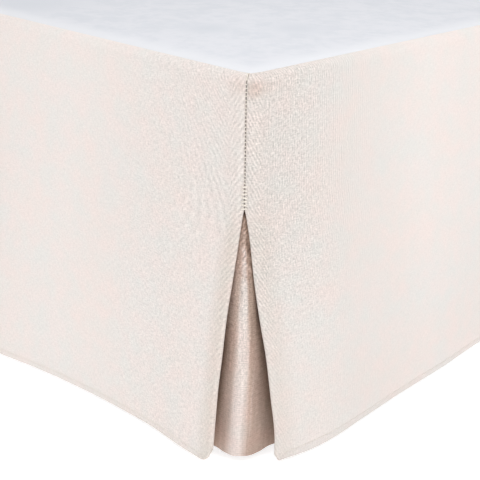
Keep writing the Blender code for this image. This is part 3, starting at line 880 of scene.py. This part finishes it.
def makeUnderlay(name, side, swing):
    places = gradedPlaces(underlay["firstColumn"], underlay["stops"])
    columns = [("foot", place) for place in reversed(places)]
    steps = underlay["arcSteps"]
    columns += [("arc", pi / 2 * step / steps) for step in range(steps + 1)]
    columns += [("side", place) for place in places]
    points, cuts, paintedPleatShades = [], [], []
    for kind, value in columns:
        beyond = value - underlay["firstColumn"] + underlay["meanRadius"] * pi / 4 + underlay["joint"]
        arc = underlay["meanRadius"] * (pi / 4 - value)
        middle = arc if kind == "arc" else (beyond if kind == "foot" else -beyond)

        def relief(depth):
            bowed = underlay["bow"] * exp(-(middle / underlay["bowWidth"]) ** 2)
            bowed *= ramp(depth, *underlay["bowBelow"]) * ramp(depth, *underlay["bowHem"])
            fade = ramp(depth, *underlay["creaseHem"]) * ramp(depth, *underlay["creaseBelow"])
            return bowed + creaseLift(underlayCreases, "under", middle, depth) * fade

        def placeAt(depth, inset):
            return underlayPlace(side, swing, kind, value, depth, inset)

        rise = curveThrough(underlay["hemRises"], middle)
        hung, depths = hangColumn(("foot", side, "foot"), placeAt, rise, relief, underlay["rowStops"])
        points.append(hung)
        cuts.append([(underlay["cutFrom"] + middle, depth, 2.0) for depth in depths])
        row = []
        for depth in depths:
            level = max(depth, drops["seamClosed"])
            plan, inward, layer = underlayPlace(side, swing, kind, value, level)
            shade = paintedPleatShadeAt(openingShare(side, swing, plan + inward * layer, level), level)
            # painted light on the creases' ridges and painted shade in their troughs
            row.append(shade - creaseLift(underlayCreases, "under", middle, depth) * underlay["creasePaintedShade"])
        paintedPleatShades.append(row)
    obj = sheetFromColumns(name, [pleatClothWithPaintedShade, clothMaterial], points, cuts, "tuck", paintedPleatShades)
    obj.modifiers["cloth"].material_offset = 1  # only the side that shows in the opening gets the painted shade
    return obj


underlayRight = makeUnderlay("pleatUnderlayRight", 1, "sideRight")
underlayLeft = makeUnderlay("pleatUnderlayLeft", -1, "sideLeft")
finishPiece(underlayRight, ["pleat_underlay_right"])
finishPiece(underlayLeft, ["pleat_underlay_left"])
print("underlays hung")


# decking
decking = {
    "step": 0.012, "thick": 0.0004, "lift": 0.0002, "overRoll": 0.0004, "edge": 0.0014, "tucked": 0.0007,
    "wave": 0.0012, "waveScale": 16.0, "waveLayer": 0.3, "flatBorder": 0.05,
}


def makeDecking():
    outer = bed["edgeRoll"] - decking["overRoll"]
    halfX = bed["plumbX"] - outer
    low, high = bed["footY"] + outer, bed["headY"]
    radius = bed["cornerRadius"] - outer
    across = round(2 * halfX / decking["step"])
    down = round((high - low) / decking["step"])
    edge = decking["edge"]

    def spread(step, count, start, end):  # even steps, but the first and last ones are the narrow sewn edge
        if step in (0, count):
            return start if step == 0 else end
        return start + edge + (end - start - 2 * edge) * (step - 1) / (count - 2)

    bm, points = gridMesh(across, down)
    for vert, column, row in points:
        x, y = spread(column, across, -halfX, halfX), spread(down - row, down, low, high)
        cornerX, cornerY = halfX - radius, low + radius
        reach = Vector((max(abs(x) - cornerX, 0.0), max(cornerY - y, 0.0)))
        rounded = reach.x > 0 and reach.y > 0
        if rounded:
            reach = reach.normalized() * max(reach.x, reach.y)
            x, y = (cornerX + reach.x) * (1 if x > 0 else -1), cornerY - reach.y
        inside = min(halfX - abs(x), y - low)
        border = smooth(inside / decking["flatBorder"])
        wave = noise.noise(Vector((x, y, decking["waveLayer"])) * decking["waveScale"]) * decking["wave"]
        if rounded:
            inside = radius - reach.length
        tucked = decking["tucked"] * max(1 - inside / edge, 0.0)
        vert.co = (x, y, bed["top"] + decking["lift"] - tucked + abs(wave) * border)
    obj = meshObject("deckingPlatform", bm, [deckingMaterial])
    addThickness(obj, decking["thick"])
    return obj


deckingPlatform = makeDecking()
finishPiece(deckingPlatform, ["decking"])
print("decking laid")


# stitches
stitches = {
    "tackFrom": 0.097, "length": 0.0018, "tackLength": 0.0056, "radius": 0.0005, "tackRadius": 0.0008,
    "proud": 0.0001, "lean": 0.0003, "locks": 4, "lockLength": 0.0017, "lockRadius": 0.0006,
    "hemPitch": 0.0030, "hemLength": 0.0023, "hemRadius": 0.0002, "hemUp": 0.0065, "hemFrom": 0.036,
}


def addStitch(bm, start, end, radius):  # one visible length of thread
    along = end - start
    made = bmesh.ops.create_cone(
        bm, cap_ends=True, segments=6, radius1=radius, radius2=radius, depth=along.length)
    turned = along.to_track_quat("Z", "Y").to_matrix().to_4x4()
    bmesh.ops.transform(bm, matrix=Matrix.Translation((start + end) / 2) @ turned, verts=made["verts"])


def makeSeamStitches(name, side):  # hold the two folds together above the opening
    level = cornerLevel(0.0)
    turn = radians(level["footTurn"])
    drop = ("foot", side, "foot")
    origin = dropPoint(drop, 0.0, 0.0, 0.0)
    across = dropPoint(drop, -cos(turn), -sin(turn), 0.0) - origin
    outward = dropPoint(drop, -sin(turn), cos(turn), 0.0) - origin
    middle = dropPoint(drop, level["footAlong"], level["footOut"], bed["top"] - bed["rollDepth"])
    reach = bed["edgeRoll"] + bed["cloth"] / 2 + stitches["proud"]

    def onSeam(depth):  # over the rolled edge and down
        angle = max(bed["rollDepth"] - depth, 0.0) / bed["edgeRoll"]
        spot = middle + outward * (reach * cos(angle) - bed["edgeRoll"])
        spot.z += reach * sin(angle) - max(depth - bed["rollDepth"], 0.0)
        return spot

    bm = bmesh.new()
    for n in range(stitches["locks"]):  # the thread's end, locked along the seam's top
        depth = drops["firstStitch"] + n * stitches["lockLength"]
        addStitch(bm, onSeam(depth), onSeam(depth + stitches["lockLength"]), stitches["lockRadius"])
    count = round((drops["lastStitch"] - drops["firstStitch"]) / drops["stitchPitch"])
    for n in range(count + 1):
        depth = drops["firstStitch"] + n * drops["stitchPitch"]
        tack = depth > stitches["tackFrom"]
        half = (stitches["tackLength"] if tack else stitches["length"]) / 2
        lean = Vector((0, 0, stitches["lean"] * (-1) ** n))
        addStitch(bm, onSeam(depth) - across * half - lean, onSeam(depth) + across * half + lean,
                  stitches["tackRadius"] if tack else stitches["radius"])
    finishPiece(meshObject(name, bm, [threadMaterial]))


def makeHemStitches(name, parts):  # a line of topstitching that holds the turned hem
    depth = bed["drop"] - stitches["hemUp"]
    bm = bmesh.new()
    for drop, until in parts:
        fold = foldAt(drop, depth)

        def surface(along):
            place, _ = facePlace(drop, "along", along, depth, fold)
            out = place.y + bed["cloth"] / 2 + stitches["hemRadius"] / 2
            return dropPoint(drop, place.x, out, bed["top"] - depth)

        for n in range(int((until - stitches["hemFrom"]) / stitches["hemPitch"])):
            start = stitches["hemFrom"] + n * stitches["hemPitch"]
            addStitch(bm, surface(start), surface(start + stitches["hemLength"]), stitches["hemRadius"])
    finishPiece(meshObject(name, bm, [threadMaterial]))


makeSeamStitches("seamStitchesRight", 1)
makeSeamStitches("seamStitchesLeft", -1)
makeHemStitches("hemStitchesFoot", [(("foot", side, "foot"), bed["plumbX"]) for side in (1, -1)])
makeHemStitches("hemStitchesRight", [(("side", 1, "sideRight"), bed["length"])])
makeHemStitches("hemStitchesLeft", [(("side", -1, "sideLeft"), bed["length"])])
print("stitches sewn")


# base: a covered box spring, piped round its top and bottom edges
boxSpring = {
    "corner": 0.035, "cornerSteps": 8, "cord": 0.0028, "cordIn": 0.0030, "cordUp": 0.012, "cordSteps": 8,
    # up from the bottom, in from the side: the cover bulges a little between the two cords
    "profile": ((0.0, 0.070), (0.0, 0.014), (0.004, 0.0060), (0.009, 0.0035), (0.012, 0.0048),
                (0.015, 0.0035), (0.022, 0.0014), (0.050, 0.0003), (0.1015, 0.0), (0.153, 0.0003),
                (0.181, 0.0014), (0.188, 0.0035), (0.191, 0.0048), (0.194, 0.0035), (0.199, 0.0060),
                (0.2028, 0.014), (0.2028, 0.070)),
    "sameLevel": 1e-6, "dustCover": 0.001,  # how near to its level a rim is, and the dust cover's faces are
}


def springOutline():  # (place, outward, length so far) round the base from the middle of its foot end
    low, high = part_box("box_spring")
    radius, steps = boxSpring["corner"], boxSpring["cornerSteps"]
    stops = [(Vector((0.0, low.y)), Vector((0.0, -1.0)))]
    corners = ((high.x - radius, low.y + radius), (high.x - radius, high.y - radius),
               (low.x + radius, high.y - radius), (low.x + radius, low.y + radius))
    for quarter, centre in enumerate(corners):
        for step in range(steps + 1):
            angle = pi / 2 * (quarter - 1 + step / steps)
            outward = Vector((cos(angle), sin(angle)))
            stops.append((Vector(centre) + outward * radius, outward))
    stops.append(stops[0])
    outline, length = [], 0.0
    for n, (place, outward) in enumerate(stops):
        length += (place - stops[n - 1][0]).length if n else 0.0
        outline.append((place, outward, length))
    return outline


def sweptGrid(outline, section):  # section rows are (in from the outline, height)
    bm, points = gridMesh(len(outline) - 1, len(section) - 1)
    lengths = []
    for vert, column, row in points:
        place, outward, length = outline[column]
        inset, height = section[row]
        plan = place - outward * inset
        lengths += (length, height, 0.0)
        vert.co = (plan.x, plan.y, height)
    return bm, lengths


def makeBoxSpring():
    low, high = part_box("box_spring")
    outline = springOutline()
    cover, lengths = sweptGrid(outline, [(inset, low.z + up) for up, inset in boxSpring["profile"]])
    rims = [[e for e in cover.edges if e.is_boundary
             and all(abs(v.co.z - level) < boxSpring["sameLevel"] for v in e.verts)]
            for level in (low.z, low.z + boxSpring["profile"][-1][0])]
    for rim in rims:
        bmesh.ops.contextual_create(cover, geom=rim)
    bmesh.ops.recalc_face_normals(cover, faces=cover.faces)
    for face in cover.faces:
        face.material_index = 1 if face.calc_center_median().z < low.z + boxSpring["dustCover"] else 0
    obj = meshObject("boxSpringCover", cover, [tickingMaterial, deckingMaterial])
    addAttribute(obj, "around", "FLOAT_VECTOR", lengths)
    finishPiece(obj, ["box_spring"])
    turns = [2 * pi * step / boxSpring["cordSteps"] for step in range(boxSpring["cordSteps"] + 1)]
    cord, up = boxSpring["cord"], boxSpring["cordUp"]
    for name, level in (("pipingBelow", low.z + up), ("pipingAbove", high.z - up)):
        piping, lengths = sweptGrid(outline, [
            (boxSpring["cordIn"] - cord * cos(turn), level + cord * sin(turn)) for turn in turns])
        obj = meshObject(name, piping, [tickingMaterial])
        addAttribute(obj, "around", "FLOAT_VECTOR", lengths)
        finishPiece(obj)


makeBoxSpring()

# the legs keep their solids
for node in ("leg_foot_left", "leg_foot_right", "leg_head_left", "leg_head_right"):
    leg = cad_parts[node]
    leg.data.materials.clear()
    leg.data.materials.append(woodMaterial)
print("base made")


# floor, world and lamps
white = "FFFFFF"
studio = {
    "floor": 20.0, "floorShade": 0.76, "floorRoughness": 0.9, "glow": 0.66, "world": 0.52, "lampSize": 1.6,
    # offset from the middle of the right foot corner, power
    "lamps": (("footLamp", (0.37, -1.03, 1.90), 20.0), ("sideLamp", (1.06, -0.05, 1.90), 19.0),
              ("backLamp", (-2.2, 3.0, 1.9), 30.0)),
}


def makeStudio():
    bm = bmesh.new()
    bmesh.ops.create_grid(bm, x_segments=1, y_segments=1, size=studio["floor"])
    material, _, shader = newMaterial("paleFloor", studio["floorRoughness"])
    shader.inputs["Base Color"].default_value = (studio["floorShade"],) * 3 + (1.0,)
    shader.inputs["Emission Color"].default_value = hexToLinear(white)
    shader.inputs["Emission Strength"].default_value = studio["glow"]
    meshObject("floor", bm, [material])
    world = bpy.data.worlds.new("studio")
    bpy.context.scene.world = world
    world.use_nodes = True
    background = world.node_tree.nodes["Background"]
    background.inputs["Color"].default_value = hexToLinear(white)
    background.inputs["Strength"].default_value = studio["world"]
    bpy.context.scene.view_settings.view_transform = "Standard"
    corner = Vector((bed["plumbX"], bed["footY"], bed["top"] / 2))
    for name, offset, power in studio["lamps"]:
        lamp = bpy.data.lights.new(name, "AREA")
        lamp.energy, lamp.size = power, studio["lampSize"]
        obj = bpy.data.objects.new(name, lamp)
        bpy.context.scene.collection.objects.link(obj)
        obj.location = corner + Vector(offset)
        obj.rotation_euler = (-Vector(offset)).to_track_quat("-Z", "Y").to_euler()


makeStudio()
print("studio lit")
